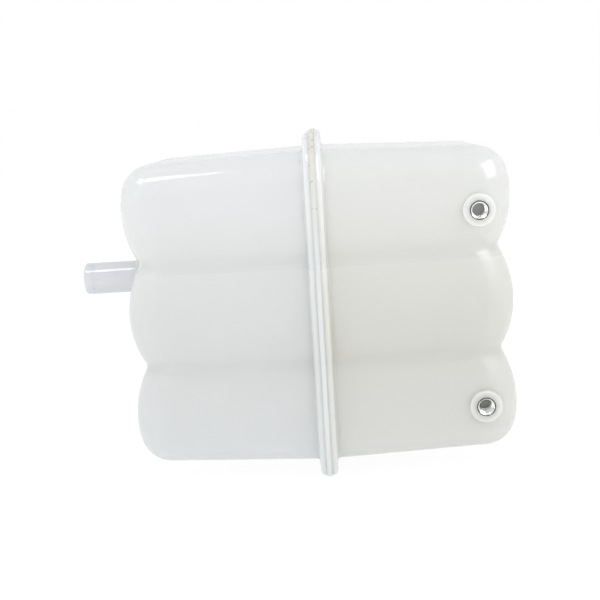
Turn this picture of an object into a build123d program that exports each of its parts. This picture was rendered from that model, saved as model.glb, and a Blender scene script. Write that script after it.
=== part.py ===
from build123d import *
import os
from math import radians, sqrt, tan

# Coolant expansion tank: two moulded halves of three lobes each, welded at an upright flange, with a
# hose spigot at the left end, two threaded inserts in the front face, and on the rear face a filler
# neck with a pressure cap and a small vent spigot.
#
# The pieces are drawn about the middle of the weld: X along the tank, Y through it from the front
# face to the rear, Z up. place() then moves them so that the origin lies midway between the inserts,
# in the plane of their faces. All sizes are in millimetres.

# Body
HALF_LENGTH = 144.0
LOBE_COUNT = 3
LOBE_PITCH = 78.0
LOBE_BULGE = 10.0
BODY_DEPTH = 180.0
DRAFT_ANGLE = 1.9
CORNER_RADIUS = 24.0
VALLEY_RADIUS = 10.0
WALL = 4.0
BAFFLE = 3.0

# Weld flange and its bead
WELD_GAP = 1.0
LIP_THICKNESS = 6.0
LIP_REACH = 12.6
LIP_ROUND = 4.5
LIP_ROOT = 2.5
BEAD_WIDTH = 3.6
BEAD_HEIGHT = 0.8
BEAD_ROUND = 0.6

# Windows in the walls between the lobes
WINDOW_LENGTH = 34.0
WINDOW_WIDTH = 26.0
WINDOW_CORNER = 6.0
WINDOW_INSET = 40.0

# Mounting bosses and inserts
INSERT_SETBACK = 26.0
INSERT_X = HALF_LENGTH - INSERT_SETBACK
INSERT_SPACING = 145.0
INSERT_DROP = 5.0
INSERT_DIAMETER = 13.8
INSERT_BORE = 10.2
INSERT_LENGTH = 18.0
INSERT_EDGE = 0.6
BOSS_DIAMETER = 24.0
BOSS_PROUD = 3.0
BOSS_FLOOR = 5.0
BOSS_EDGE = 1.2

# Hose spigot of the left end
SPIGOT_DIAMETER = 25.0
SPIGOT_BORE = 19.0
SPIGOT_REACH = 41.5
SPIGOT_Z = 22.5
SPIGOT_Y = 0.0
SPIGOT_PILOT = 2.0
SPIGOT_STUB = 6.0
SPIGOT_ROUND = 2.4
GROOVE_WIDTH = 1.2
GROOVE_DEPTH = 0.3
GROOVE_SETBACK = 7.0
SOCKET_PROUD = 2.0
SOCKET_WALL = 1.5
SOCKET_EDGE = 0.6

# Vent spigot of the rear face
VENT_SETBACK = 48.0
VENT_X = HALF_LENGTH - VENT_SETBACK
VENT_DIAMETER = 10.0
VENT_BORE = 6.0
VENT_REACH = 26.0
VENT_STUB = 3.0
VENT_LEAD = 0.8
VENT_COLLAR = 18.0
VENT_COLLAR_THICKNESS = 2.5
VENT_PAD_PROUD = 1.0

# Filler neck
NECK_SETBACK = 60.0
NECK_X = HALF_LENGTH - NECK_SETBACK
NECK_BORE = 40.0
NECK_WALL = 4.0
NECK_HEIGHT = 38.0
NECK_SEAT_BORE = 34.0
NECK_SEAT_TOP = 12.0
NECK_FOOT = 68.0
NECK_FOOT_THICKNESS = 4.0
NECK_PILOT = 5.0
NECK_LEAD = 1.0
PAD_PROUD = 3.0
PAD_MARGIN = 2.0
OVERFLOW_HEIGHT = 16.0
OVERFLOW_DIAMETER = 9.0
OVERFLOW_BORE = 5.5
OVERFLOW_REACH = 30.0
OVERFLOW_LEAD = 0.7
SHOULDER_REACH = 2.0
SHOULDER_DIAMETER = 13.0
SHOULDER_EDGE = 0.5

# Cap
GASKET_THICKNESS = 2.0
THREAD_ROOM = 2.5
CAP_WALL = 5.0
CAP_TOP = 4.0
CAP_SKIRT = 20.0
CAP_EDGE = 2.5
CAP_RECESS = 1.2
CAP_RIM = 7.0
GRIP_COUNT = 16
GRIP_RADIUS = 4.5
GRIP_DEPTH = 1.8
SNAP_HEIGHT = 1.2
SNAP_GRIP = 1.0
WASHER_THICKNESS = 1.0

# Core of the cap
CORE_FLANGE = 3.0
CORE_DIAMETER = 36.0
CORE_BORE = 24.0
CORE_BOTTOM = 3.0
CORE_FLOOR = 2.0
SEAT_HOLE = 14.0
SEAT_LIP = 1.2
RING_CORD = 2.8
RING_HEIGHT = 7.5
PORT_COUNT = 4
PORT_DIAMETER = 6.0

# Pressure valve
SEAL_THICKNESS = 1.5
SEAL_DIAMETER = 20.0
SEAL_BORE = 9.0
PLATE_THICKNESS = 1.5
HUB_DIAMETER = 9.0
HUB_HEIGHT = 4.8
HUB_PORT_DIAMETER = 1.6
SPRING_WIRE = 1.6
SPRING_DIAMETER = 17.0
SPRING_TURNS = 5.0
RETAINER_HEIGHT = 32.0
RETAINER_THICKNESS = 2.5
RETAINER_HOLE = 12.0

# Vacuum valve
DISC_DIAMETER = 12.0
DISC_THICKNESS = 1.2
STEM_DIAMETER = 3.0
STEM_LENGTH = 13.8
CLIP_DIAMETER = 8.0
CLIP_THICKNESS = 0.8
CLIP_SETBACK = 0.7
VACUUM_WIRE = 0.5
VACUUM_SPRING_DIAMETER = 5.4
VACUUM_TURNS = 4.0

# Clearances: between pressed or welded pieces, between sliding pieces, and round a turning piece
PRESS = 0.02
SLIDE = 0.2
FREE = 0.5

# Values worked out from the sizes above
HALF_DEPTH = BODY_DEPTH / 2
HALF_PITCH = LOBE_PITCH / 2
LOBES = [index - (LOBE_COUNT - 1) / 2 for index in range(LOBE_COUNT)]
HALF_HEIGHT = LOBE_COUNT * HALF_PITCH
LOBE_RADIUS = (HALF_PITCH ** 2 + LOBE_BULGE ** 2) / (2 * LOBE_BULGE)
DRAFT = tan(radians(DRAFT_ANGLE))
WELD_FACE = WELD_GAP / 2
LIP_FACE = WELD_FACE + LIP_THICKNESS
INSERT_Z = [INSERT_SPACING / 2 - INSERT_DROP, -INSERT_SPACING / 2 - INSERT_DROP]
INSERT_FACE_Y = -(HALF_DEPTH - INSERT_X * DRAFT + BOSS_PROUD)
PAD_Y = HALF_DEPTH - NECK_X * DRAFT + PAD_PROUD
VENT_PAD_Y = HALF_DEPTH - VENT_X * DRAFT + VENT_PAD_PROUD
SOCKET_FACE_X = -HALF_LENGTH - SOCKET_PROUD
VENT_Z = LOBES[-1] * LOBE_PITCH
NECK_RADIUS = NECK_BORE / 2 + NECK_WALL
RIM = NECK_HEIGHT
GASKET_TOP = RIM + GASKET_THICKNESS
FLANGE_TOP = GASKET_TOP + CORE_FLANGE
CAP_CEILING = FLANGE_TOP + WASHER_THICKNESS
CAP_HEIGHT = CAP_CEILING + CAP_TOP
CAP_INNER = NECK_RADIUS + THREAD_ROOM
CAP_OUTER = CAP_INNER + CAP_WALL
CAP_BOTTOM = CAP_CEILING - CAP_SKIRT
CORE_FLANGE_RADIUS = CAP_INNER - FREE - SNAP_GRIP
SNAP_RADIUS = CORE_FLANGE_RADIUS - SNAP_GRIP
SEAT_TOP = CORE_BOTTOM + CORE_FLOOR + SEAT_LIP
SEAL_TOP = SEAT_TOP + SEAL_THICKNESS
PLATE_TOP = SEAL_TOP + PLATE_THICKNESS
HUB_TOP = PLATE_TOP + HUB_HEIGHT


def place(shape):
    """Move a piece from the weld's middle to the frame of the mounts."""
    middle = sum(INSERT_Z) / len(INSERT_Z)
    return shape.moved(Location((-INSERT_X, -INSERT_FACE_Y, -middle)))


# Shapes that several pieces share


def lies_in(edge, axis, value):
    """True if an edge lies in the plane across the named axis at that value."""
    box = edge.bounding_box()
    low = getattr(box.min, axis)
    high = getattr(box.max, axis)
    return abs(low - value) < 1e-3 and abs(high - value) < 1e-3


def lobe_arcs(crest, radius, to_point, half_height):
    """Arcs of the lobes from the lowest to the highest, on one side of the body."""
    arcs = []
    for lobe in LOBES:
        centre = lobe * LOBE_PITCH
        low = -half_height if lobe == LOBES[0] else centre - HALF_PITCH
        high = half_height if lobe == LOBES[-1] else centre + HALF_PITCH
        heights = (low, centre, high)
        reach = [crest - radius + sqrt(radius ** 2 - (z - centre) ** 2) for z in heights]
        arcs.append(ThreePointArc(*[to_point(out, z) for out, z in zip(reach, heights)]))
    return arcs


def closed_outline(chains, valley_radius):
    """Face inside chains of edges, joined by straight lines, with its valleys rounded."""
    edges = []
    for index, chain in enumerate(chains):
        following = chains[(index + 1) % len(chains)]
        edges += chain
        edges.append(Line(chain[-1] @ 1, following[0] @ 0))
    face = Face(Wire(edges))
    valleys = [
        vertex for vertex in face.vertices()
        if any(abs(vertex.Z - (lobe * LOBE_PITCH + HALF_PITCH)) < 1e-3 for lobe in LOBES[:-1])
    ]
    return face.fillet_2d(valley_radius, valleys)


def section(inset, valley_radius):
    """The body's section in the weld plane, drawn in by inset, or out where that is negative."""
    half_height = HALF_HEIGHT - inset
    crest = HALF_DEPTH - inset
    radius = LOBE_RADIUS - inset
    front = lobe_arcs(crest, radius, lambda out, z: (0, -out, z), half_height)
    rear = lobe_arcs(crest, radius, lambda out, z: (0, out, z), half_height)
    rear = [ThreePointArc(arc @ 1, arc @ 0.5, arc @ 0) for arc in reversed(rear)]
    return closed_outline([front, rear], valley_radius)


def end_profile(inset, start):
    """The body's outline seen from the front, from behind the weld to the lobes' ends."""
    ends = lobe_arcs(HALF_LENGTH - inset, LOBE_RADIUS - inset, lambda out, z: (out, 0, z), HALF_HEIGHT)
    behind = start - WALL
    back = [Line((behind, 0, HALF_HEIGHT), (behind, 0, -HALF_HEIGHT))]
    return closed_outline([ends, back], VALLEY_RADIUS + inset)


def meets_smoothly(edge, faces):
    """True if the two faces beside an edge run into each other without a corner."""
    beside = [face for face in faces if any(edge.is_same(other) for other in face.edges())]
    normals = [face.normal_at(edge @ 0.5) for face in beside]
    return len(normals) == 2 and normals[0].get_angle(normals[1]) < 1


def half_block(inset, start):
    """Right half of the body as a block, drawn in by inset: drafted, bulged and rounded."""
    weld = section(inset, VALLEY_RADIUS + inset)
    past_end = HALF_LENGTH + LOBE_BULGE
    sides = Solid.extrude_taper(weld, Vector(past_end, 0, 0), DRAFT_ANGLE)
    if start < 0:
        sides = sides.fuse(Solid.extrude(weld, Vector(start, 0, 0)))
    profile = end_profile(inset, start)
    block = sides & extrude(profile, amount=BODY_DEPTH, dir=(0, 1, 0), both=True)
    faces = block.faces()
    corners = [
        edge for edge in block.edges()
        if not lies_in(edge, "X", start) and not lies_in(edge, "X", 0) and not meets_smoothly(edge, faces)
    ]
    return block.fillet(CORNER_RADIUS - inset, corners)


def bar(x, z, y_from, y_to, radius):
    """Round bar along Y."""
    base = Plane(origin=(x, y_from, z), x_dir=(1, 0, 0), z_dir=(0, 1, 0))
    return extrude(base * Circle(radius), amount=y_to - y_from)


def ring_at(x, z, y_from, y_to, outer, inner):
    """Round tube along Y."""
    return bar(x, z, y_from, y_to, outer) - bar(x, z, y_from - 1, y_to + 1, inner)


def turned(profile):
    """Piece of the neck or the cap, turned about the neck's axis.

    The profile is a list of (radius, height above the neck's pad) points.
    """
    outline = Polyline(*[(radius, height, 0) for radius, height in profile], close=True)
    solid = revolve(make_face(outline), axis=Axis.Y, revolution_arc=360)
    return solid.moved(Location((NECK_X, PAD_Y, 0)))


def circle_edges(shape, axis_radius, height):
    """Round edges of a turned piece at a radius and a height above the neck's pad."""
    found = []
    for edge in shape.edges():
        if edge.geom_type != GeomType.CIRCLE or not lies_in(edge, "Y", PAD_Y + height):
            continue
        if abs(edge.radius - axis_radius) < 1e-3:
            found.append(edge)
    return found


# Tank halves and their weld


def flange_outline(reach):
    """Outline of the flange in the weld plane, standing out from the body by reach."""
    outline = section(-reach, VALLEY_RADIUS)
    top = HALF_HEIGHT + reach
    corners = [vertex for vertex in outline.vertices() if abs(abs(vertex.Z) - top) < 1e-3]
    return outline.fillet_2d(CORNER_RADIUS + reach, corners)


def hollow():
    """Inside of one half, with the walls that part the lobes left standing and their windows open."""
    room = half_block(WALL, -WELD_GAP)
    for lobe in LOBES[:-1]:
        wall_z = lobe * LOBE_PITCH + HALF_PITCH
        plate = Pos(HALF_LENGTH / 2, 0, wall_z) * Box(2 * HALF_LENGTH, BODY_DEPTH, BAFFLE)
        room -= plate - windows(wall_z)
    return room


def windows(wall_z):
    """Openings through one wall between lobes, near the weld and near the tank's end."""
    rows = [WINDOW_INSET, HALF_LENGTH - WINDOW_INSET]
    sides = [HALF_DEPTH - WINDOW_INSET, WINDOW_INSET - HALF_DEPTH]
    floor = Plane.XY.offset(wall_z - BAFFLE)
    outline = Sketch() + [
        floor * Pos(x, y) * RectangleRounded(WINDOW_LENGTH, WINDOW_WIDTH, WINDOW_CORNER)
        for x in rows for y in sides
    ]
    return extrude(outline, amount=2 * BAFFLE)


def half_shell(room):
    """One half of the tank with its weld lip, before the features of its own side."""
    block = half_block(0, 0)
    lip = Solid.extrude(flange_outline(LIP_REACH), Vector(LIP_FACE, 0, 0))
    rims = [edge for edge in lip.edges() if lies_in(edge, "X", LIP_FACE)]
    lip = lip.fillet(LIP_ROUND, rims)
    shell = block.fuse(lip)
    roots = [
        edge for edge in shell.edges()
        if lies_in(edge, "X", LIP_FACE) and edge.distance_to(block) < LIP_ROOT / 2
    ]
    shell = shell.fillet(LIP_ROOT, roots)
    gap = Box(WELD_GAP, 4 * HALF_DEPTH, 4 * HALF_HEIGHT)
    return shell - gap - room


def left_shell(room):
    """Left half: the shell mirrored, with the socket that the hose spigot is welded on."""
    shell = half_shell(room).mirror(Plane.YZ)
    socket = spigot_bar(SOCKET_FACE_X, LOBE_BULGE - HALF_LENGTH, SPIGOT_DIAMETER / 2 + SOCKET_WALL)
    rim = [edge for edge in socket.edges() if lies_in(edge, "X", SOCKET_FACE_X)]
    socket = socket.fillet(SOCKET_EDGE, rim) - half_block(WALL, 0).mirror(Plane.YZ)
    hole = spigot_bar(SOCKET_FACE_X - 1, -HALF_LENGTH / 2, SPIGOT_BORE / 2 + SPIGOT_PILOT + PRESS)
    return shell + socket - hole


def right_shell(room):
    """Right half, with the insert bosses, the neck's pad and the holes of the rear face."""
    shell = half_shell(room)
    for insert_z in INSERT_Z:
        shell += insert_boss(insert_z)
    shell += rear_pad(NECK_X, 0, PAD_Y, NECK_FOOT / 2 + PAD_MARGIN)
    shell += rear_pad(VENT_X, VENT_Z, VENT_PAD_Y, VENT_COLLAR / 2 + PAD_MARGIN)
    for insert_z in INSERT_Z:
        shell -= insert_hole(insert_z)
    shell -= bar(NECK_X, 0, 0, PAD_Y + 1, NECK_SEAT_BORE / 2 + NECK_WALL + PRESS)
    shell -= bar(VENT_X, VENT_Z, 0, VENT_PAD_Y + 1, VENT_DIAMETER / 2 + PRESS)
    return shell


def insert_boss(insert_z):
    """Round boss of one insert, standing inwards from its face through the front wall."""
    depth = INSERT_LENGTH + BOSS_FLOOR
    boss = bar(INSERT_X, insert_z, INSERT_FACE_Y, INSERT_FACE_Y + depth, BOSS_DIAMETER / 2)
    rim = [edge for edge in boss.edges() if lies_in(edge, "Y", INSERT_FACE_Y)]
    return boss.fillet(BOSS_EDGE, rim)


def insert_hole(insert_z):
    """Blind hole that an insert is pressed into."""
    radius = INSERT_DIAMETER / 2 + PRESS
    return bar(INSERT_X, insert_z, INSERT_FACE_Y - 1, INSERT_FACE_Y + INSERT_LENGTH, radius)


def rear_pad(x, z, face_y, radius):
    """Flat round pad of the rear wall that carries the neck or the vent spigot."""
    pad = bar(x, z, HALF_DEPTH - 2 * LOBE_BULGE, face_y, radius)
    rim = [edge for edge in pad.edges() if lies_in(edge, "Y", face_y)]
    pad = pad.fillet(min(BOSS_EDGE, PAD_MARGIN / 2), rim)
    return pad - half_block(WALL, 0)


def weld_bead(room):
    """Bead between the lips: the thin weld itself and the round flash that stands out of it."""
    web = Solid.extrude(flange_outline(LIP_REACH), Vector(WELD_GAP, 0, 0))
    outer = Solid.extrude(flange_outline(LIP_REACH + BEAD_HEIGHT), Vector(BEAD_WIDTH, 0, 0))
    outer = outer.fillet(BEAD_ROUND, [edge for edge in outer.edges() if lies_in(edge, "X", 0)
                                      or lies_in(edge, "X", BEAD_WIDTH)])
    inner = Solid.extrude(flange_outline(LIP_REACH), Vector(BEAD_WIDTH, 0, 0))
    flash = (outer - inner).moved(Location((-BEAD_WIDTH / 2, 0, 0)))
    return web.moved(Location((-WELD_GAP / 2, 0, 0))).fuse(flash) - room


# Inserts and spigots


def insert(insert_z):
    """Threaded insert: a plain sleeve, open at both ends, with the outer edge of its face chamfered."""
    sleeve = ring_at(INSERT_X, insert_z, INSERT_FACE_Y, INSERT_FACE_Y + INSERT_LENGTH,
                     INSERT_DIAMETER / 2, INSERT_BORE / 2)
    rim = [
        edge for edge in sleeve.edges()
        if lies_in(edge, "Y", INSERT_FACE_Y) and abs(edge.radius - INSERT_DIAMETER / 2) < 1e-3
    ]
    return sleeve.chamfer(INSERT_EDGE, None, rim)


def spigot_bar(x_from, x_to, radius):
    """Round bar along X on the hose spigot's axis."""
    base = Plane(origin=(x_from, SPIGOT_Y, SPIGOT_Z), x_dir=(0, 1, 0), z_dir=(1, 0, 0))
    return extrude(base * Circle(radius), amount=x_to - x_from)


def outlet_spigot():
    """Hose spigot of the left end: pilot in the socket, pipe with a groove near its rounded tip."""
    tip = SOCKET_FACE_X - SPIGOT_REACH
    stub = WALL + SPIGOT_STUB - HALF_LENGTH + LOBE_BULGE
    radius = SPIGOT_DIAMETER / 2
    pipe = spigot_bar(tip, SOCKET_FACE_X, radius)
    rim = [edge for edge in pipe.edges() if lies_in(edge, "X", tip)]
    pipe = pipe.fillet(SPIGOT_ROUND, rim)
    groove_x = tip + GROOVE_SETBACK
    groove = spigot_bar(groove_x, groove_x + GROOVE_WIDTH, radius + 1)
    groove -= spigot_bar(groove_x - 1, groove_x + GROOVE_WIDTH + 1, radius - GROOVE_DEPTH)
    pipe -= groove
    pipe += spigot_bar(SOCKET_FACE_X, stub, SPIGOT_BORE / 2 + SPIGOT_PILOT)
    return pipe - spigot_bar(tip - 1, stub + 1, SPIGOT_BORE / 2)


def vent_spigot():
    """Vent spigot of the rear face: a plain pipe with a collar on its pad."""
    radius = VENT_DIAMETER / 2
    tip = VENT_PAD_Y + VENT_REACH
    inside = VENT_PAD_Y - VENT_PAD_PROUD - WALL - VENT_STUB
    pipe = bar(VENT_X, VENT_Z, inside, tip, radius)
    rim = [edge for edge in pipe.edges() if lies_in(edge, "Y", tip)]
    pipe = pipe.fillet(VENT_LEAD, rim)
    pipe += bar(VENT_X, VENT_Z, VENT_PAD_Y, VENT_PAD_Y + VENT_COLLAR_THICKNESS, VENT_COLLAR / 2)
    return pipe - bar(VENT_X, VENT_Z, inside - 1, tip + 1, VENT_BORE / 2)


def filler_neck():
    """Filler neck: foot on the pad, pilot in the wall, wide bore over a narrower seat, overflow pipe."""
    seat = NECK_SEAT_BORE / 2
    wide = NECK_BORE / 2
    pilot = seat + NECK_WALL
    foot = NECK_FOOT / 2
    neck = turned([
        (seat, -NECK_PILOT), (pilot, -NECK_PILOT), (pilot, 0), (foot, 0),
        (foot, NECK_FOOT_THICKNESS), (NECK_RADIUS, NECK_FOOT_THICKNESS), (NECK_RADIUS, NECK_HEIGHT),
        (wide, NECK_HEIGHT), (wide, NECK_SEAT_TOP + wide - seat), (seat, NECK_SEAT_TOP),
    ])
    neck = neck.fillet(BOSS_EDGE, circle_edges(neck, foot, NECK_FOOT_THICKNESS))
    neck = neck.fillet(NECK_LEAD, circle_edges(neck, NECK_RADIUS, NECK_FOOT_THICKNESS))
    return neck + overflow_shoulder() + overflow_pipe(OVERFLOW_DIAMETER / 2) - overflow_bore()


def overflow_plane(distance):
    """Plane across the overflow pipe at a distance from the neck's axis, towards the tank's end."""
    return Plane(origin=(NECK_X + distance, PAD_Y + OVERFLOW_HEIGHT, 0), x_dir=(0, 1, 0), z_dir=(1, 0, 0))


def overflow_shoulder():
    """Thicker root of the overflow pipe, whose flat face stops the hose."""
    root = NECK_RADIUS - NECK_WALL / 2
    face = NECK_RADIUS + SHOULDER_REACH
    shoulder = extrude(overflow_plane(root) * Circle(SHOULDER_DIAMETER / 2), amount=face - root)
    rim = [edge for edge in shoulder.edges() if lies_in(edge, "X", NECK_X + face)]
    return shoulder.fillet(SHOULDER_EDGE, rim)


def overflow_pipe(radius):
    """Overflow pipe from inside the neck's wall to its rounded tip."""
    root = NECK_RADIUS - NECK_WALL / 2
    tip = NECK_RADIUS + OVERFLOW_REACH
    pipe = extrude(overflow_plane(root) * Circle(radius), amount=tip - root)
    rim = [edge for edge in pipe.edges() if lies_in(edge, "X", NECK_X + tip)]
    return pipe.fillet(OVERFLOW_LEAD, rim)


def overflow_bore():
    """Passage from the neck's wide bore out through the overflow pipe."""
    start = NECK_BORE / 2 - NECK_WALL
    length = NECK_RADIUS + OVERFLOW_REACH + 1 - start
    return extrude(overflow_plane(start) * Circle(OVERFLOW_BORE / 2), amount=length)


# Cap


def neck_gasket():
    """Flat rubber ring on the neck's rim."""
    inner = NECK_BORE / 2 + FREE
    outer = NECK_RADIUS - FREE
    return turned([(inner, RIM), (outer, RIM), (outer, GASKET_TOP), (inner, GASKET_TOP)])


def cap_shell():
    """Screw cap: skirt with grips, rimmed top and the snap ring that holds the core."""
    snap_top = GASKET_TOP - SLIDE
    snap_bottom = snap_top - SNAP_HEIGHT
    shell = turned([
        (0, CAP_CEILING), (CAP_INNER, CAP_CEILING), (CAP_INNER, snap_top), (SNAP_RADIUS, snap_top),
        (SNAP_RADIUS, snap_top - SNAP_HEIGHT / 2), (CAP_INNER, snap_bottom), (CAP_INNER, CAP_BOTTOM),
        (CAP_OUTER, CAP_BOTTOM), (CAP_OUTER, CAP_HEIGHT), (CAP_OUTER - CAP_RIM, CAP_HEIGHT),
        (CAP_OUTER - CAP_RIM - CAP_RECESS, CAP_HEIGHT - CAP_RECESS), (0, CAP_HEIGHT - CAP_RECESS),
    ])
    shell = shell.fillet(CAP_EDGE, circle_edges(shell, CAP_OUTER, CAP_HEIGHT))
    groove_axis = CAP_OUTER + GRIP_RADIUS - GRIP_DEPTH
    groove = bar(NECK_X + groove_axis, 0, PAD_Y + CAP_BOTTOM - 1, PAD_Y + CAP_HEIGHT + 1, GRIP_RADIUS)
    axis = Axis((NECK_X, 0, 0), (0, 1, 0))
    for index in range(GRIP_COUNT):
        shell -= groove.rotate(axis, 360 / GRIP_COUNT * index)
    return shell


def thrust_washer():
    """Slippery washer between the core's flange and the cap, which lets the cap turn on the core."""
    return turned([
        (NECK_BORE / 2 - NECK_WALL, FLANGE_TOP), (CORE_FLANGE_RADIUS - FREE, FLANGE_TOP),
        (CORE_FLANGE_RADIUS - FREE, CAP_CEILING), (NECK_BORE / 2 - NECK_WALL, CAP_CEILING),
    ])


def ring_groove():
    """Radius of the O-ring's middle line, and of the groove that it lies in."""
    middle = NECK_SEAT_BORE / 2 - PRESS - RING_CORD / 2
    return middle, middle - RING_CORD / 2


def valve_housing():
    """Core of the cap: flange, stepped tube with the O-ring's groove, ports, floor and valve seat."""
    bore = CORE_BORE / 2
    tube = CORE_DIAMETER / 2
    nose = NECK_SEAT_BORE / 2 - SLIDE
    groove = ring_groove()[1]
    groove_low = RING_HEIGHT - RING_CORD / 2 - PRESS
    groove_high = RING_HEIGHT + RING_CORD / 2 + PRESS
    floor = CORE_BOTTOM + CORE_FLOOR
    seat = SEAT_HOLE / 2
    step = NECK_SEAT_TOP + tube - nose + FREE
    housing = turned([
        (seat, CORE_BOTTOM), (nose, CORE_BOTTOM), (nose, groove_low), (groove, groove_low),
        (groove, groove_high), (nose, groove_high), (nose, step), (tube, step + tube - nose),
        (tube, GASKET_TOP), (CORE_FLANGE_RADIUS, GASKET_TOP), (CORE_FLANGE_RADIUS, FLANGE_TOP),
        (bore, FLANGE_TOP), (bore, floor), (seat + SEAT_LIP, floor), (seat + SEAT_LIP / 2, SEAT_TOP),
        (seat, SEAT_TOP),
    ])
    axis = Axis((NECK_X, 0, 0), (0, 1, 0))
    port = extrude(overflow_plane(0) * Circle(PORT_DIAMETER / 2), amount=NECK_RADIUS)
    for index in range(PORT_COUNT):
        housing -= port.rotate(axis, 360 / PORT_COUNT * (index + 0.5))
    return housing


def housing_o_ring():
    """Round-section ring in the core's groove."""
    middle = ring_groove()[0]
    circle = Plane.XY * Pos(middle, RING_HEIGHT) * Circle(RING_CORD / 2)
    return revolve(circle, axis=Axis.Y, revolution_arc=360).moved(Location((NECK_X, PAD_Y, 0)))


def pressure_seal():
    """Flat rubber ring that lies on the seat, and that the vacuum disc closes from below."""
    return turned([
        (SEAL_BORE / 2, SEAT_TOP), (SEAL_DIAMETER / 2, SEAT_TOP), (SEAL_DIAMETER / 2, SEAL_TOP),
        (SEAL_BORE / 2, SEAL_TOP),
    ])


def pressure_plate():
    """Disc of the pressure valve with the hub that guides the vacuum valve's stem."""
    stem = STEM_DIAMETER / 2 + SLIDE
    hub = HUB_DIAMETER / 2
    edge = CORE_BORE / 2 - FREE
    plate = turned([
        (stem, SEAL_TOP), (edge, SEAL_TOP), (edge, PLATE_TOP), (hub, PLATE_TOP), (hub, HUB_TOP),
        (stem, HUB_TOP),
    ])
    for side in (-1, 1):
        port_x = NECK_X + side * (stem + hub) / 2
        plate -= bar(port_x, 0, PAD_Y + SEAL_TOP - 1, PAD_Y + HUB_TOP + 1, HUB_PORT_DIAMETER / 2)
    return plate


def coil(diameter, wire, turns, low, high):
    """Coil spring about the neck's axis, its wire a six-sided bar."""
    length = high - low - wire - 2 * PRESS
    path = Helix(pitch=length / turns, height=length, radius=diameter / 2,
                 center=(0, low + wire / 2 + PRESS, 0), direction=(0, 1, 0))
    wire_plane = Plane(origin=path @ 0, z_dir=path % 0)
    spring = sweep(wire_plane * RegularPolygon(wire / 2, 6), path=path)
    return spring.moved(Location((NECK_X, PAD_Y, 0)))


def pressure_spring():
    """Spring between the pressure plate and the retainer."""
    return coil(SPRING_DIAMETER, SPRING_WIRE, SPRING_TURNS, PLATE_TOP, RETAINER_HEIGHT)


def spring_retainer():
    """Disc pressed into the core over the spring, open in the middle."""
    outer = CORE_BORE / 2 - PRESS
    return turned([
        (RETAINER_HOLE / 2, RETAINER_HEIGHT), (outer, RETAINER_HEIGHT),
        (outer, RETAINER_HEIGHT + RETAINER_THICKNESS),
        (RETAINER_HOLE / 2, RETAINER_HEIGHT + RETAINER_THICKNESS),
    ])


def vacuum_valve():
    """Disc under the pressure seal, with the stem that passes up through the hub."""
    stem = STEM_DIAMETER / 2
    disc = DISC_DIAMETER / 2
    return turned([
        (0, SEAT_TOP - DISC_THICKNESS), (disc, SEAT_TOP - DISC_THICKNESS), (disc, SEAT_TOP),
        (stem, SEAT_TOP), (stem, SEAT_TOP + STEM_LENGTH), (0, SEAT_TOP + STEM_LENGTH),
    ])


def clip_low():
    """Height of the clip's underside above the neck's pad."""
    return SEAT_TOP + STEM_LENGTH - CLIP_SETBACK - CLIP_THICKNESS


def vacuum_spring():
    """Small spring between the hub and the clip, which holds the vacuum disc up."""
    return coil(VACUUM_SPRING_DIAMETER, VACUUM_WIRE, VACUUM_TURNS, HUB_TOP, clip_low())


def vacuum_clip():
    """Washer fixed on the stem over the small spring."""
    inner = STEM_DIAMETER / 2 + PRESS
    outer = CLIP_DIAMETER / 2
    low = clip_low()
    return turned([
        (inner, low), (outer, low), (outer, low + CLIP_THICKNESS), (inner, low + CLIP_THICKNESS),
    ])


def build():
    """All pieces by name, in the tank's drawing frame."""
    room = hollow()
    both_rooms = room.fuse(room.mirror(Plane.YZ))
    return {
        "left_shell": left_shell(room),
        "right_shell": right_shell(room),
        "weld_bead": weld_bead(both_rooms),
        "upper_insert": insert(INSERT_Z[0]),
        "lower_insert": insert(INSERT_Z[1]),
        "outlet_spigot": outlet_spigot(),
        "vent_spigot": vent_spigot(),
        "filler_neck": filler_neck(),
        "neck_gasket": neck_gasket(),
        "cap_shell": cap_shell(),
        "thrust_washer": thrust_washer(),
        "valve_housing": valve_housing(),
        "housing_o_ring": housing_o_ring(),
        "pressure_plate": pressure_plate(),
        "pressure_seal": pressure_seal(),
        "pressure_spring": pressure_spring(),
        "spring_retainer": spring_retainer(),
        "vacuum_valve": vacuum_valve(),
        "vacuum_spring": vacuum_spring(),
        "vacuum_clip": vacuum_clip(),
    }


os.makedirs("parts", exist_ok=True)
for name, piece in build().items():
    export_step(place(piece), f"parts/{name}.step")
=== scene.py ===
"""Looks of the coolant expansion tank: camera, studio, plastics, metals and the threads."""

import math

import bmesh
import bpy
from mathutils import Matrix, Vector


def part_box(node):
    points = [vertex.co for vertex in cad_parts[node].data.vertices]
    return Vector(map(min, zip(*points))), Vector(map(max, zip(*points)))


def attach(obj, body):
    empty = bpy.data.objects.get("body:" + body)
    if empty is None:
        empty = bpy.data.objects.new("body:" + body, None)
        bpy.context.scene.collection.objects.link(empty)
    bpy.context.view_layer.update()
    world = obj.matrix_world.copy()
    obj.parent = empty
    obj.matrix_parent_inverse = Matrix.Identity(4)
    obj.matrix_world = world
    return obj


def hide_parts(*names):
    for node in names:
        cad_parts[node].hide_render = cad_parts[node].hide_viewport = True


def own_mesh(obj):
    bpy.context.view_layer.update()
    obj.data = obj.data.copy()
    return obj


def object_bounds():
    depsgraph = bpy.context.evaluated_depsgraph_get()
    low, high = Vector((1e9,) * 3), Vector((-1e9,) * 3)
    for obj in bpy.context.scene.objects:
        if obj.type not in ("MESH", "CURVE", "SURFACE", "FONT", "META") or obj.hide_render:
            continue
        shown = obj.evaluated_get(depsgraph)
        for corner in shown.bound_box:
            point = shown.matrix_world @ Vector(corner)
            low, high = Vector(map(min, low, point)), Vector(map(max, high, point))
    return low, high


MM = 0.001

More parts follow.
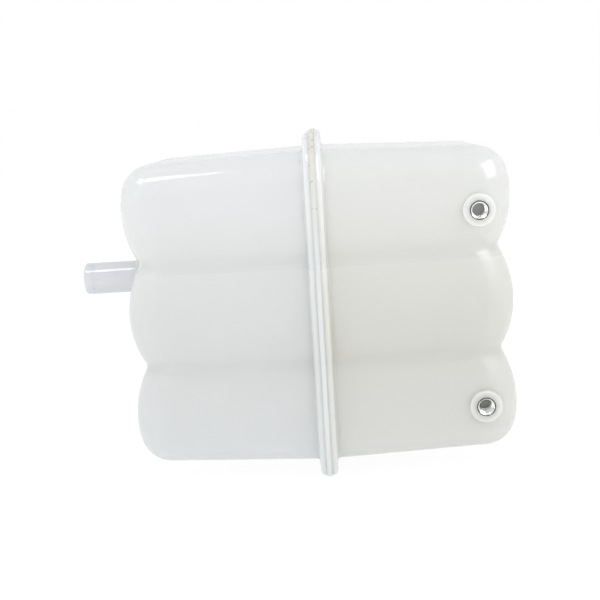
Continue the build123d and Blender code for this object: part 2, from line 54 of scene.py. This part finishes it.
# Camera, fitted to the outline of the tank in a square picture of 600 pixels
PICTURE_PIXELS = 600
SENSOR_WIDTH = 36.0
FOCAL_PIXELS = 1162.0
CAMERA_AIM = Vector((-134.97, 89.09, 0.5)) * MM
CAMERA_DISTANCE = 935.0 * MM
CAMERA_ELEVATION = math.radians(9.13)
CAMERA_AZIMUTH = math.radians(1.69)
CAMERA_ROLL = math.radians(3.485)

# Light
TANK_MIDDLE = Vector((-118, 89, 0)) * MM
FILL_BELOW = 1.42
FILL_ABOVE = 0.94
ROOM_IN_GLOSS = 0.86
GLOSS_LAMP_DISTANCE = 1.3
FLOOR_SIZE = 12
FLOOR_MIDDLE = (-0.13, 0.09)
FLOOR_WHITE = 1.06
FLOOR_SHARE = 0.85
FLOOR_GLOW = 0.5

# Places and sizes of the solids
NECK_AXIS_X = -34.0 * MM
NECK_AXIS_Z = 5.0 * MM
NECK_PAD_Y = 179.30 * MM
INSERT_HEIGHTS = {"upper": 72.5 * MM, "lower": -72.5 * MM}
BUSH_RADIUS = 6.9 * MM
BUSH_LENGTH = 18.0 * MM
THREAD_CREST = 5.1 * MM

# Heights between which the tank's painted light and shade, its gloss and the scorching of its weld change
LOBE_HEIGHT = 110.0 * MM
GLOSS_ABOVE = 46.0 * MM
DULL_BELOW = 32.0 * MM
SCORCH_LOW = 60.0 * MM
SCORCH_HIGH = 120.0 * MM

# Finishes
GLOSSY_ROUGHNESS = 0.1
DULL_ROUGHNESS = 0.36
GLOSSY_SHINE = 0.5
DULL_SHINE = 0.25
SPECKS_PER_METRE = 260
SPECK_REACH = 0.17
POLISH_MARKS_PER_METRE = 900

# Rims and threads, which the solids leave out; a turn of the cap lifts it by one pitch
RIM_INNER = 6.1 * MM
THREAD_ROOT = 5.6 * MM
ROOT_SUNK = 0.1 * MM
COUNTERSINK = 0.4 * MM
THREAD_START = 1.0 * MM
RIM_BEVEL = 0.15 * MM
BUSH_PITCH = 1.75 * MM
BUSH_TURNS = 8.5
CAP_PITCH = 4.0 * MM
CAP_TURNS = 1.5
RUN_OUT = 0.12
CLOSE = 0.1 * MM
SMOOTH_BELOW = math.radians(30)
WIRE_SMOOTH_BELOW = math.radians(40)


def add_camera():
    """Camera at the picture's place and angle, rolled as the picture is."""
    elevation, azimuth = CAMERA_ELEVATION, CAMERA_AZIMUTH
    back = Vector((
        math.sin(azimuth) * math.cos(elevation), -math.cos(azimuth) * math.cos(elevation), math.sin(elevation),
    ))
    right = Vector((math.cos(azimuth), math.sin(azimuth), 0))
    up = back.cross(right)
    rolled_right = math.cos(CAMERA_ROLL) * right - math.sin(CAMERA_ROLL) * up
    rolled_up = math.sin(CAMERA_ROLL) * right + math.cos(CAMERA_ROLL) * up
    data = bpy.data.cameras.new("camera")
    data.sensor_width = SENSOR_WIDTH
    data.lens = FOCAL_PIXELS * SENSOR_WIDTH / PICTURE_PIXELS
    data.clip_start = 0.01
    data.clip_end = 50
    camera = bpy.data.objects.new("camera", data)
    turn = Matrix((rolled_right, rolled_up, back)).transposed()
    camera.matrix_world = Matrix.Translation(CAMERA_AIM + CAMERA_DISTANCE * back) @ turn.to_4x4()
    bpy.context.scene.collection.objects.link(camera)
    bpy.context.scene.camera = camera


def material(name):
    """New material with its shader, ready for nodes."""
    made = bpy.data.materials.new(name)
    made.use_nodes = True
    return made, made.node_tree.nodes, made.node_tree.links


def camera_ray(nodes, links):
    """One for rays from the camera, and for what gloss and glass show."""
    path = nodes.new("ShaderNodeLightPath")
    glossy = nodes.new("ShaderNodeMath")
    glossy.operation = "MAXIMUM"
    links.new(path.outputs["Is Camera Ray"], glossy.inputs[0])
    links.new(path.outputs["Is Glossy Ray"], glossy.inputs[1])
    seen = nodes.new("ShaderNodeMath")
    seen.operation = "MAXIMUM"
    links.new(glossy.outputs[0], seen.inputs[0])
    links.new(path.outputs["Is Transmission Ray"], seen.inputs[1])
    return seen.outputs[0]


def light_world():
    """Backdrop that is white to the camera and pale in gloss, and a plain light from all round."""
    world = bpy.data.worlds.new("studio")
    bpy.context.scene.world = world
    world.use_nodes = True
    nodes, links = world.node_tree.nodes, world.node_tree.links
    nodes.clear()
    output = nodes.new("ShaderNodeOutputWorld")
    backdrop = nodes.new("ShaderNodeBackground")
    backdrop.inputs["Color"].default_value = (1, 1, 1, 1)
    shown = nodes.new("ShaderNodeMapRange")
    shown.inputs["To Min"].default_value = ROOM_IN_GLOSS
    path = nodes.new("ShaderNodeLightPath")
    links.new(path.outputs["Is Camera Ray"], shown.inputs["Value"])
    links.new(shown.outputs["Result"], backdrop.inputs["Strength"])
    fill = nodes.new("ShaderNodeBackground")
    fill.inputs["Color"].default_value = (0.97, 0.985, 1.0, 1)
    place = nodes.new("ShaderNodeTexCoord")
    split = nodes.new("ShaderNodeSeparateXYZ")
    links.new(place.outputs["Generated"], split.inputs[0])
    rise = nodes.new("ShaderNodeMapRange")
    rise.inputs["From Min"].default_value = -1
    rise.inputs["To Min"].default_value = FILL_BELOW
    rise.inputs["To Max"].default_value = FILL_ABOVE
    links.new(split.outputs["Z"], rise.inputs["Value"])
    links.new(rise.outputs["Result"], fill.inputs["Strength"])
    mix = nodes.new("ShaderNodeMixShader")
    links.new(camera_ray(nodes, links), mix.inputs["Fac"])
    links.new(fill.outputs[0], mix.inputs[1])
    links.new(backdrop.outputs[0], mix.inputs[2])
    links.new(mix.outputs[0], output.inputs["Surface"])


def add_lamp(name, azimuth, elevation, distance, width, height, power, colour):
    """Rectangular soft box round the tank's middle; azimuth 0 is in front, and grows to the right."""
    turn, rise = math.radians(azimuth), math.radians(elevation)
    way = Vector((
        math.sin(turn) * math.cos(rise), -math.cos(turn) * math.cos(rise), math.sin(rise),
    ))
    data = bpy.data.lights.new(name, "AREA")
    data.shape = "RECTANGLE"
    data.size = width
    data.size_y = height
    data.energy = power
    data.color = colour
    lamp = bpy.data.objects.new(name, data)
    lamp.location = TANK_MIDDLE + distance * way
    lamp.rotation_euler = way.to_track_quat("Z", "Y").to_euler()
    bpy.context.scene.collection.objects.link(lamp)
    return lamp


def add_floor(height):
    """Pale floor under the tank that is white to the camera and keeps a soft shadow."""
    bpy.ops.object.select_all(action="DESELECT")
    bpy.ops.mesh.primitive_plane_add(size=FLOOR_SIZE, location=(*FLOOR_MIDDLE, height))
    floor = bpy.context.object
    floor.name = "floor"
    made, nodes, links = material("pale_floor")
    shader = nodes["Principled BSDF"]
    shader.inputs["Base Color"].default_value = (0.9, 0.9, 0.9, 1)
    shader.inputs["Roughness"].default_value = 0.9
    glow = nodes.new("ShaderNodeEmission")
    glow.inputs["Strength"].default_value = FLOOR_WHITE
    mix = nodes.new("ShaderNodeMixShader")
    share = nodes.new("ShaderNodeMapRange")
    share.inputs["To Min"].default_value = FLOOR_GLOW
    share.inputs["To Max"].default_value = FLOOR_SHARE
    links.new(camera_ray(nodes, links), share.inputs["Value"])
    links.new(share.outputs["Result"], mix.inputs["Fac"])
    links.new(shader.outputs[0], mix.inputs[1])
    links.new(glow.outputs[0], mix.inputs[2])
    links.new(mix.outputs[0], nodes["Material Output"].inputs["Surface"])
    floor.data.materials.append(made)


def object_place(nodes):
    """Place on the piece, in metres."""
    return nodes.new("ShaderNodeTexCoord").outputs["Object"]


def add_grain(nodes, links, place, size, depth):
    """Fine moulded grain as a bump on the shader's normal."""
    grain = nodes.new("ShaderNodeTexNoise")
    grain.inputs["Scale"].default_value = 1 / size
    grain.inputs["Detail"].default_value = 2
    links.new(place, grain.inputs["Vector"])
    bump = nodes.new("ShaderNodeBump")
    bump.inputs["Strength"].default_value = 0.5
    bump.inputs["Distance"].default_value = depth
    links.new(grain.outputs["Fac"], bump.inputs["Height"])
    links.new(bump.outputs["Normal"], nodes["Principled BSDF"].inputs["Normal"])


def slow_tone(nodes, links, place, first, second):
    """Colour that drifts slowly between two tones, as moulded plastic's does."""
    drift = nodes.new("ShaderNodeTexNoise")
    drift.inputs["Scale"].default_value = 9
    drift.inputs["Detail"].default_value = 3
    links.new(place, drift.inputs["Vector"])
    tone = nodes.new("ShaderNodeMix")
    tone.data_type = "RGBA"
    tone.inputs["A"].default_value = (*first, 1)
    tone.inputs["B"].default_value = (*second, 1)
    links.new(drift.outputs["Fac"], tone.inputs["Factor"])
    return tone.outputs["Result"]


def multiply(nodes, links, first, second):
    """Product of two colours."""
    product = nodes.new("ShaderNodeMix")
    product.data_type = "RGBA"
    product.blend_type = "MULTIPLY"
    product.inputs["Factor"].default_value = 1
    links.new(first, product.inputs["A"])
    links.new(second, product.inputs["B"])
    return product.outputs["Result"]


def moulded_plastic(name, colour, shade, roughness=0.35, grain_size=0.0006, grain_depth=0.00004):
    """Moulded plastic with slow colour changes and a fine grain."""
    made, nodes, links = material(name)
    shader = nodes["Principled BSDF"]
    place = object_place(nodes)
    links.new(slow_tone(nodes, links, place, colour, shade), shader.inputs["Base Color"])
    add_grain(nodes, links, place, grain_size, grain_depth)
    shader.inputs["Roughness"].default_value = roughness
    shader.inputs["IOR"].default_value = 1.49
    return made


def milky_plastic(name, top, middle, bottom):
    """Milky tank plastic: light scatters in it; its colour is painted lighter towards the top as painted light,
    and darkest at mid height as painted shade.
    """
    made, nodes, links = material(name)
    shader = nodes["Principled BSDF"]
    place = object_place(nodes)
    split = nodes.new("ShaderNodeSeparateXYZ")
    links.new(place, split.inputs[0])
    height = nodes.new("ShaderNodeMapRange")
    height.inputs["From Min"].default_value = -LOBE_HEIGHT
    height.inputs["From Max"].default_value = LOBE_HEIGHT
    links.new(split.outputs["Z"], height.inputs["Value"])
    # Colour by height: lighter at the top as painted light from above, darkest at mid height as painted shade.
    painted_light_and_shade = nodes.new("ShaderNodeValToRGB")
    ramp = painted_light_and_shade.color_ramp
    ramp.interpolation = "B_SPLINE"
    ramp.elements[0].color = (*bottom, 1)
    ramp.elements[1].color = (*top, 1)
    ramp.elements.new(0.5).color = (*middle, 1)
    links.new(height.outputs["Result"], painted_light_and_shade.inputs["Fac"])
    tone = slow_tone(nodes, links, place, (1.0, 1.0, 1.0), (0.97, 0.97, 0.965))
    links.new(multiply(nodes, links, painted_light_and_shade.outputs["Color"], tone), shader.inputs["Base Color"])
    add_grain(nodes, links, place, 0.0008, 0.00002)
    gloss = nodes.new("ShaderNodeMapRange")
    gloss.inputs["From Min"].default_value = DULL_BELOW
    gloss.inputs["From Max"].default_value = GLOSS_ABOVE
    gloss.inputs["To Min"].default_value = DULL_ROUGHNESS
    gloss.inputs["To Max"].default_value = GLOSSY_ROUGHNESS
    links.new(split.outputs["Z"], gloss.inputs["Value"])
    links.new(gloss.outputs["Result"], shader.inputs["Roughness"])
    shine = nodes.new("ShaderNodeMapRange")
    shine.inputs["From Min"].default_value = DULL_BELOW
    shine.inputs["From Max"].default_value = GLOSS_ABOVE
    shine.inputs["To Min"].default_value = DULL_SHINE
    shine.inputs["To Max"].default_value = GLOSSY_SHINE
    links.new(split.outputs["Z"], shine.inputs["Value"])
    links.new(shine.outputs["Result"], shader.inputs["Specular IOR Level"])
    shader.inputs["IOR"].default_value = 1.49
    shader.inputs["Subsurface Weight"].default_value = 0.8
    shader.inputs["Subsurface Radius"].default_value = (1.0, 1.0, 1.0)
    shader.inputs["Subsurface Scale"].default_value = 0.012
    return made


def clear_plastic(name, colour, shade):
    """Harder, clearer plastic of the hose spigots."""
    made, nodes, links = material(name)
    shader = nodes["Principled BSDF"]
    place = object_place(nodes)
    links.new(slow_tone(nodes, links, place, colour, shade), shader.inputs["Base Color"])
    add_grain(nodes, links, place, 0.001, 0.00001)
    shader.inputs["Roughness"].default_value = 0.06
    shader.inputs["IOR"].default_value = 1.52
    shader.inputs["Transmission Weight"].default_value = 0.15
    shader.inputs["Subsurface Weight"].default_value = 0.3
    shader.inputs["Subsurface Radius"].default_value = (1.0, 1.0, 1.0)
    shader.inputs["Subsurface Scale"].default_value = 0.004
    return made


def weld_plastic(name, colour, scorched, dirt):
    """Plastic squeezed out of the weld: milky, scorched a little near the top, with small dark specks there."""
    made, nodes, links = material(name)
    shader = nodes["Principled BSDF"]
    place = object_place(nodes)
    split = nodes.new("ShaderNodeSeparateXYZ")
    links.new(place, split.inputs[0])
    height = nodes.new("ShaderNodeMapRange")
    height.inputs["From Min"].default_value = SCORCH_LOW
    height.inputs["From Max"].default_value = SCORCH_HIGH
    links.new(split.outputs["Z"], height.inputs["Value"])
    tone = nodes.new("ShaderNodeMix")
    tone.data_type = "RGBA"
    tone.inputs["A"].default_value = (*colour, 1)
    tone.inputs["B"].default_value = (*scorched, 1)
    links.new(height.outputs["Result"], tone.inputs["Factor"])
    spots = nodes.new("ShaderNodeTexVoronoi")
    spots.inputs["Scale"].default_value = SPECKS_PER_METRE
    links.new(place, spots.inputs["Vector"])
    near = nodes.new("ShaderNodeMath")
    near.operation = "LESS_THAN"
    near.inputs[1].default_value = SPECK_REACH
    links.new(spots.outputs["Distance"], near.inputs[0])
    few = nodes.new("ShaderNodeMath")
    few.operation = "MULTIPLY"
    links.new(near.outputs[0], few.inputs[0])
    links.new(height.outputs["Result"], few.inputs[1])
    speckled = nodes.new("ShaderNodeMix")
    speckled.data_type = "RGBA"
    speckled.inputs["B"].default_value = (*dirt, 1)
    links.new(tone.outputs["Result"], speckled.inputs["A"])
    links.new(few.outputs[0], speckled.inputs["Factor"])
    links.new(speckled.outputs["Result"], shader.inputs["Base Color"])
    add_grain(nodes, links, place, 0.0015, 0.00008)
    shader.inputs["Roughness"].default_value = 0.32
    shader.inputs["Subsurface Weight"].default_value = 0.4
    shader.inputs["Subsurface Radius"].default_value = (1.0, 1.0, 1.0)
    shader.inputs["Subsurface Scale"].default_value = 0.004
    return made


def plain_metal(name, colour, roughness, metallic=1.0):
    """Turned or drawn metal with a faint uneven polish."""
    made, nodes, links = material(name)
    shader = nodes["Principled BSDF"]
    shader.inputs["Base Color"].default_value = (*colour, 1)
    shader.inputs["Metallic"].default_value = metallic
    wear = nodes.new("ShaderNodeTexNoise")
    wear.inputs["Scale"].default_value = POLISH_MARKS_PER_METRE
    links.new(object_place(nodes), wear.inputs["Vector"])
    polish = nodes.new("ShaderNodeMapRange")
    polish.inputs["To Min"].default_value = 0.85 * roughness
    polish.inputs["To Max"].default_value = 1.15 * roughness
    links.new(wear.outputs["Fac"], polish.inputs["Value"])
    links.new(polish.outputs["Result"], shader.inputs["Roughness"])
    return made


def add_to_edit(name, add, **settings):
    """Add a primitive with nothing else selected, name it, and enter edit mode with nothing selected."""
    bpy.ops.object.select_all(action="DESELECT")
    add(**settings)
    piece = bpy.context.object
    piece.name = name
    bpy.ops.object.transform_apply(location=True, rotation=True, scale=True)
    bpy.ops.object.mode_set(mode="EDIT")
    bpy.ops.mesh.select_all(action="DESELECT")
    return piece


def select_where(piece, mode, test):
    """Select the vertices, edges or faces whose middle passes a test."""
    bpy.ops.mesh.select_mode(type=mode)
    bpy.ops.mesh.select_all(action="DESELECT")
    mesh = bmesh.from_edit_mesh(piece.data)
    elements = {"VERT": mesh.verts, "EDGE": mesh.edges, "FACE": mesh.faces}[mode]
    for element in elements:
        if mode == "VERT":
            middle = element.co
        elif mode == "EDGE":
            middle = (element.verts[0].co + element.verts[1].co) / 2
        else:
            middle = element.calc_center_median()
        if test(middle):
            element.select_set(True)
    bmesh.update_edit_mesh(piece.data)


def leave_edit():
    """Back to object mode."""
    bpy.ops.object.mode_set(mode="OBJECT")


def stand_on_axis(piece, place):
    """Turn a piece made about Z so that its axis runs along Y, and put it in place."""
    bpy.ops.object.select_all(action="DESELECT")
    piece.select_set(True)
    bpy.context.view_layer.objects.active = piece
    piece.rotation_euler = (-math.pi / 2, 0, 0)
    piece.location = place
    bpy.ops.object.transform_apply(location=True, rotation=True, scale=True)


def join(pieces, name):
    """Join pieces into the first one."""
    bpy.ops.object.select_all(action="DESELECT")
    for piece in pieces:
        piece.select_set(True)
    bpy.context.view_layer.objects.active = pieces[0]
    bpy.ops.object.join()
    pieces[0].name = name
    return pieces[0]


def run_out(ridge, root, low, pitch, turns, length):
    """Let both ends of a ridge sink to its root over a length given in turns."""
    bpy.ops.object.mode_set(mode="EDIT")
    mesh = bmesh.from_edit_mesh(ridge.data)
    for vertex in mesh.verts:
        radius = math.hypot(vertex.co.x, vertex.co.y)
        angle = math.atan2(vertex.co.y, vertex.co.x) / math.tau
        turn = angle + round((vertex.co.z - low) / pitch - angle)
        left = max(0.0, min(turn, turns - turn) / length)
        if left < 1:
            shorter = (root + (radius - root) * left) / radius
            vertex.co.x *= shorter
            vertex.co.y *= shorter
    bmesh.update_edit_mesh(ridge.data)
    leave_edit()


def sweep_helix(piece, turns, rise, steps):
    """Sweep a closed loop of edges up a helix about Z, and close both ends."""
    screw = piece.modifiers.new("helix", "SCREW")
    screw.axis = "Z"
    screw.angle = turns * math.tau
    screw.screw_offset = rise
    screw.steps = round(turns * steps)
    screw.render_steps = screw.steps
    bpy.ops.object.modifier_apply(modifier="helix")
    bpy.ops.object.mode_set(mode="EDIT")
    bpy.ops.mesh.select_all(action="DESELECT")
    bpy.ops.mesh.select_mode(type="EDGE")
    bpy.ops.mesh.select_non_manifold(extend=False, use_wire=False, use_boundary=True,
                                     use_multi_face=False, use_non_contiguous=False, use_verts=False)
    bpy.ops.mesh.edge_face_add()
    bpy.ops.mesh.select_all(action="SELECT")
    bpy.ops.mesh.normals_make_consistent(inside=False)
    leave_edit()


def thread_ridge(name, root, crest, root_width, crest_width, low, pitch, turns, steps):
    """Screw thread about Z: a trapezoid section swept up a right-hand helix, its ends run out."""
    span, middle = abs(crest - root), (crest + root) / 2
    ridge = add_to_edit(name, bpy.ops.mesh.primitive_plane_add, size=1,
                        location=(middle, 0, low), rotation=(math.pi / 2, 0, 0))
    bpy.ops.mesh.select_all(action="SELECT")
    bpy.ops.transform.resize(value=(span, 1, root_width), center_override=(middle, 0, low))
    select_where(ridge, "VERT", lambda co: abs(co.x - crest) < span / 4)
    bpy.ops.transform.resize(value=(1, 1, crest_width / root_width), center_override=(crest, 0, low))
    bpy.ops.mesh.select_all(action="SELECT")
    bpy.ops.mesh.delete(type="ONLY_FACE")
    leave_edit()
    sweep_helix(ridge, turns, turns * pitch, steps)
    run_out(ridge, root, low, pitch, turns, RUN_OUT)
    return ridge


def sink_face(steps):
    """Step a picked face inwards and down: each step is an inset and a drop."""
    for inset, drop in steps:
        bpy.ops.mesh.inset(thickness=inset, depth=0)
        bpy.ops.transform.translate(value=(0, 0, drop))


def threaded_bush(name, height, metal, rim):
    """Metal insert: a sleeve open at both ends, with a flat rim painted dark as the shade of the gap round it,
    a countersink and its thread.
    """
    bush = add_to_edit(name, bpy.ops.mesh.primitive_cylinder_add, vertices=72, radius=BUSH_RADIUS,
                       depth=BUSH_LENGTH, location=(0, 0, BUSH_LENGTH / 2))
    select_where(bush, "FACE", lambda co: co.z < CLOSE)
    sink_face([(BUSH_RADIUS - RIM_INNER, 0), (RIM_INNER - THREAD_ROOT, COUNTERSINK)])
    select_where(bush, "FACE", lambda co: co.z > BUSH_LENGTH - CLOSE)
    sink_face([(BUSH_RADIUS - THREAD_ROOT, 0)])
    select_where(bush, "FACE", lambda co: math.hypot(co.x, co.y) < CLOSE)
    bpy.ops.mesh.bridge_edge_loops()
    select_where(bush, "EDGE", lambda co: co.z < CLOSE and math.hypot(co.x, co.y) > BUSH_RADIUS - CLOSE)
    bpy.ops.mesh.bevel(offset=RIM_BEVEL, segments=2)
    leave_edit()
    bush.data.materials.append(metal)
    bush.data.materials.append(rim)
    # Faces of the flat rim take the rim finish: near-black, painted shade of the gap round the insert.
    for face in bush.data.polygons:
        reach = math.hypot(face.center.x, face.center.y)
        if face.center.z < RIM_BEVEL and reach > RIM_INNER:
            face.material_index = 1
    thread = thread_ridge(name + "_thread", THREAD_ROOT + ROOT_SUNK, THREAD_CREST, root_width=1.6 * MM,
                          crest_width=0.7 * MM, low=COUNTERSINK + THREAD_START, pitch=BUSH_PITCH,
                          turns=BUSH_TURNS, steps=48)
    thread.data.materials.append(metal)
    bush = join([bush, thread], name)
    bpy.ops.object.shade_smooth_by_angle(angle=SMOOTH_BELOW)
    stand_on_axis(bush, (0, 0, height))
    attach(bush, "tank")
    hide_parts(name)


def cap_screw_thread(name, root, crest, low, body, finish):
    """One and a half turns of the coarse thread between the neck and its cap."""
    ridge = thread_ridge(name, root, crest, root_width=2.2 * MM, crest_width=1.0 * MM, low=low,
                         pitch=CAP_PITCH, turns=CAP_TURNS, steps=72)
    ridge.data.materials.append(finish)
    bpy.ops.object.shade_smooth_by_angle(angle=SMOOTH_BELOW)
    stand_on_axis(ridge, (NECK_AXIS_X, NECK_PAD_Y, NECK_AXIS_Z))
    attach(ridge, body)


def coil_spring(name, wire, turns, body, finish):
    """Round-wire spring about the neck's axis; the coil is fixed here and does not close towards its seat as
    its valve opens.
    """
    low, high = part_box(name)
    radius = (high.x - low.x - wire) / 2
    spring = add_to_edit(name, bpy.ops.mesh.primitive_circle_add, vertices=12, radius=wire / 2,
                         location=(radius, 0, wire / 2), rotation=(math.pi / 2, 0, 0))
    leave_edit()
    sweep_helix(spring, turns, high.y - low.y - wire, 36)
    bpy.ops.object.shade_smooth_by_angle(angle=WIRE_SMOOTH_BELOW)
    spring.data.materials.append(finish)
    stand_on_axis(spring, (NECK_AXIS_X, low.y, NECK_AXIS_Z))
    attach(spring, body)
    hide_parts(name)
    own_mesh(spring)


def dress(frame, finishes):
    """Give each CAD node its finish."""
    for node, finish in finishes.items():
        mesh = frame["nodes"][node].data
        mesh.materials.clear()
        mesh.materials.append(finish)


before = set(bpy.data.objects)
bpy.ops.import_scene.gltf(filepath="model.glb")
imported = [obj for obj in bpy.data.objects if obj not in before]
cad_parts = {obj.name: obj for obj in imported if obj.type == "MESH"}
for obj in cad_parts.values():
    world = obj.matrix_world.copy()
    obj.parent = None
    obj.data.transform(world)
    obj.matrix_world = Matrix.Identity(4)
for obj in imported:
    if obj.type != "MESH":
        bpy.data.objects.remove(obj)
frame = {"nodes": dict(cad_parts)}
cad_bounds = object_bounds()
add_camera()
light_world()
for name, azimuth, elevation, distance, width, height, power in [
    ("front_box", -5, 6, 2.5, 1.2, 0.6, 4.5), ("side_box", 80, 5, 1.5, 0.8, 0.8, 1.6),
]:
    soft_lamp = add_lamp(name, azimuth, elevation, distance, width, height, power, (1.0, 1.0, 1.0))
    soft_lamp.visible_glossy = False
for name, azimuth, elevation, width, height, power in [
    ("right_box", 55, 34, 0.9, 0.74, 11), ("left_box", -61, 51, 0.5, 0.36, 2.4),
    ("top_strip", -36, 58.6, 0.16, 0.4, 1.4),
]:
    gloss_lamp = add_lamp(name, azimuth, elevation, GLOSS_LAMP_DISTANCE, width, height, power, (1.0, 1.0, 1.0))
    gloss_lamp.visible_diffuse = False
    gloss_lamp.visible_transmission = False
add_floor(cad_bounds[0][2])

# Top colours are painted light from above and middle colours are painted shade; the right half's middle is
# warmer and darker still.
left_plastic = milky_plastic(
    "left_half_plastic", top=(0.945, 0.965, 0.97), middle=(0.715, 0.72, 0.695), bottom=(0.745, 0.765, 0.77),
)
right_plastic = milky_plastic(
    "right_half_plastic", top=(0.95, 0.96, 0.93), middle=(0.66, 0.65, 0.575), bottom=(0.745, 0.755, 0.735),
)
bead_plastic = weld_plastic("bead_plastic", (0.79, 0.82, 0.82), (0.80, 0.78, 0.66), (0.35, 0.32, 0.26))
spigot_plastic = clear_plastic("spigot_plastic", (0.80, 0.805, 0.835), (0.77, 0.775, 0.805))
cap_plastic = moulded_plastic("cap_plastic", (0.022, 0.022, 0.023), (0.03, 0.03, 0.03), 0.5, 0.0004, 0.00006)
core_plastic = moulded_plastic("core_plastic", (0.09, 0.09, 0.1), (0.12, 0.12, 0.12), 0.45)
washer_plastic = moulded_plastic("washer_plastic", (0.8, 0.8, 0.76), (0.75, 0.75, 0.7))
seal_rubber = moulded_plastic("seal_rubber", (0.02, 0.02, 0.02), (0.035, 0.035, 0.035), 0.6, 0.0005)
insert_metal = plain_metal("insert_metal", (0.985, 0.99, 0.98), 0.2, 0.9)
# A copy of the insert metal, a little darker and greener, for the lower insert: painted shade in what it
# reflects.
insert_metal_painted_shade = plain_metal("lower_insert_metal_painted_shade", (0.97, 0.98, 0.955), 0.2, 0.9)
# Near-black finish painted on the inserts' rims as the shade of the gap round them.
painted_gap_shade = moulded_plastic("painted_gap_shade_rim", (0.02, 0.022, 0.024), (0.035, 0.036, 0.036), 0.45, 0.0004)
spring_steel = plain_metal("spring_steel", (0.6, 0.6, 0.61), 0.3)
valve_brass = plain_metal("valve_brass", (0.72, 0.56, 0.3), 0.32)

dress(frame, {
    "left_shell": left_plastic, "right_shell": right_plastic, "weld_bead": bead_plastic,
    "upper_insert": insert_metal, "lower_insert": insert_metal_painted_shade, "outlet_spigot": spigot_plastic,
    "vent_spigot": spigot_plastic, "filler_neck": right_plastic, "neck_gasket": seal_rubber,
    "cap_shell": cap_plastic, "thrust_washer": washer_plastic, "valve_housing": core_plastic,
    "housing_o_ring": seal_rubber, "pressure_plate": core_plastic, "pressure_seal": seal_rubber,
    "pressure_spring": spring_steel, "spring_retainer": core_plastic, "vacuum_valve": valve_brass,
    "vacuum_spring": spring_steel, "vacuum_clip": spring_steel,
})

threaded_bush("upper_insert", INSERT_HEIGHTS["upper"], insert_metal, painted_gap_shade)
threaded_bush("lower_insert", INSERT_HEIGHTS["lower"], insert_metal_painted_shade, painted_gap_shade)
cap_screw_thread("neck_thread", root=23.8 * MM, crest=25.8 * MM, low=28 * MM, body="tank",
                 finish=right_plastic)
cap_screw_thread("cap_thread", root=26.7 * MM, crest=24.6 * MM, low=26 * MM, body="screw_cap",
                 finish=cap_plastic)

coil_spring("pressure_spring", wire=1.6 * MM, turns=5, body="cap_core",
            finish=spring_steel)
coil_spring("vacuum_spring", wire=0.5 * MM, turns=4, body="pressure_disc",
            finish=spring_steel)

bpy.context.scene.view_settings.view_transform = "Standard"
